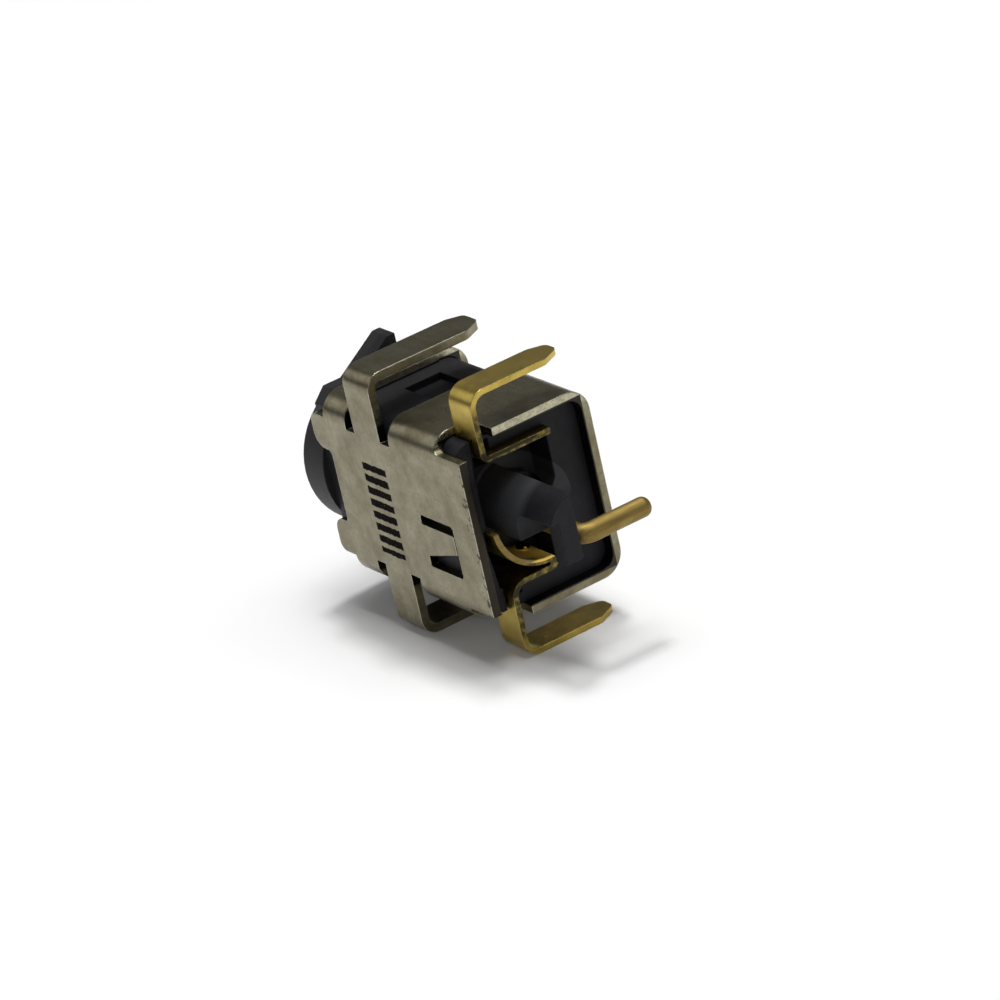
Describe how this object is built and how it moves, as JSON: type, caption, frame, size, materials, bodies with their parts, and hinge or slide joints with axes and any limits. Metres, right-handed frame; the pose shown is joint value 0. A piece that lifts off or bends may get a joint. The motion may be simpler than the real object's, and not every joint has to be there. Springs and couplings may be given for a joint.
{
  "type": "dc barrel jack",
  "caption": "Board-mounted dc power jack: round plug barrel with a centre pin, black moulded housing, folded metal shell with solder legs, and gold contacts behind.",
  "frame": {"origin": "on the shell's flat bottom, under the plug axis, level with the solder legs of the two sleeve contacts", "axes": "+X across the jack, +Y from the plug mouth to the rear along the plug axis, +Z away from the board"},
  "size_m": [0.0094, 0.0126, 0.0053],
  "materials": {
    "nickel_plate": "satin nickel plating",
    "black_moulding": "fine matt moulding",
    "gold_plate": "smooth gold plating"
  },
  "bodies": {
    "root": {"shell": "nickel_plate", "housing": "black_moulding", "left_contact": "gold_plate", "right_contact": "gold_plate", "centre_pin": "gold_plate"}
  },
  "joints": []
}
